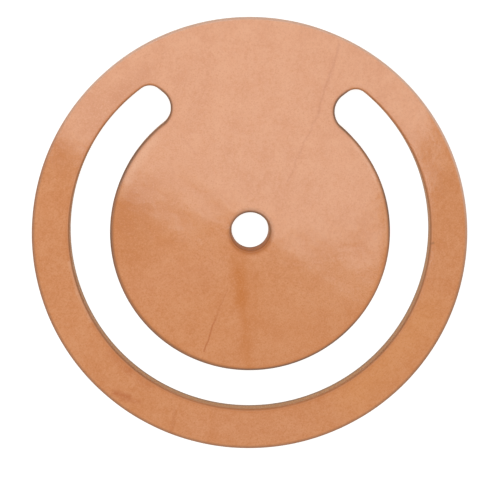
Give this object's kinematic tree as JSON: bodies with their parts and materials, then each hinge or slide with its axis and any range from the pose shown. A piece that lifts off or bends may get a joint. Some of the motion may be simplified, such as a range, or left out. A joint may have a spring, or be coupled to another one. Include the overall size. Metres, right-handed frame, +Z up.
{
  "type": "flap valve leather",
  "caption": "Flat round leather flap valve for a hand pump: an outer gasket ring, a C-shaped slot, and an inner flap with a bolt hole, hinged on a neck of the same leather.",
  "frame": {"origin": "centre of the ring's outer edge, on the underside", "axes": "+Z up through the leather to its grain side, +Y to the neck that the flap hinges on, +X to the right"},
  "size_m": [0.108, 0.108, 0.0048],
  "materials": {
    "leather": "satin"
  },
  "bodies": {
    "ring": {"gasket_ring": "leather"},
    "web_1": {"hinge_web_1": "leather"},
    "web_2": {"hinge_web_2": "leather"},
    "web_3": {"hinge_web_3": "leather"},
    "flap": {"valve_flap": "leather"}
  },
  "joints": [
    {"name": "neck_bend_1", "type": "hinge", "parent": "ring", "child": "web_1", "pos_m": [0, 0.03475, 0.00476], "axis": [-1, 0, 0], "range_deg": [0, 11.25], "stiffness_Nm_per_rad": 0.08},
    {"name": "neck_bend_2", "type": "hinge", "parent": "web_1", "child": "web_2", "pos_m": [0, 0.03225, 0.00476], "axis": [-1, 0, 0], "range_deg": [0, 11.25], "stiffness_Nm_per_rad": 0.08},
    {"name": "neck_bend_3", "type": "hinge", "parent": "web_2", "child": "web_3", "pos_m": [0, 0.02975, 0.00476], "axis": [-1, 0, 0], "range_deg": [0, 11.25], "stiffness_Nm_per_rad": 0.08},
    {"name": "neck_bend_4", "type": "hinge", "parent": "web_3", "child": "flap", "pos_m": [0, 0.02725, 0.00476], "axis": [-1, 0, 0], "range_deg": [0, 11.25], "stiffness_Nm_per_rad": 0.08}
  ],
  "couplings": [
    {"joint": "neck_bend_2", "follows": "neck_bend_1", "ratio": 1},
    {"joint": "neck_bend_3", "follows": "neck_bend_1", "ratio": 1},
    {"joint": "neck_bend_4", "follows": "neck_bend_1", "ratio": 1}
  ]
}
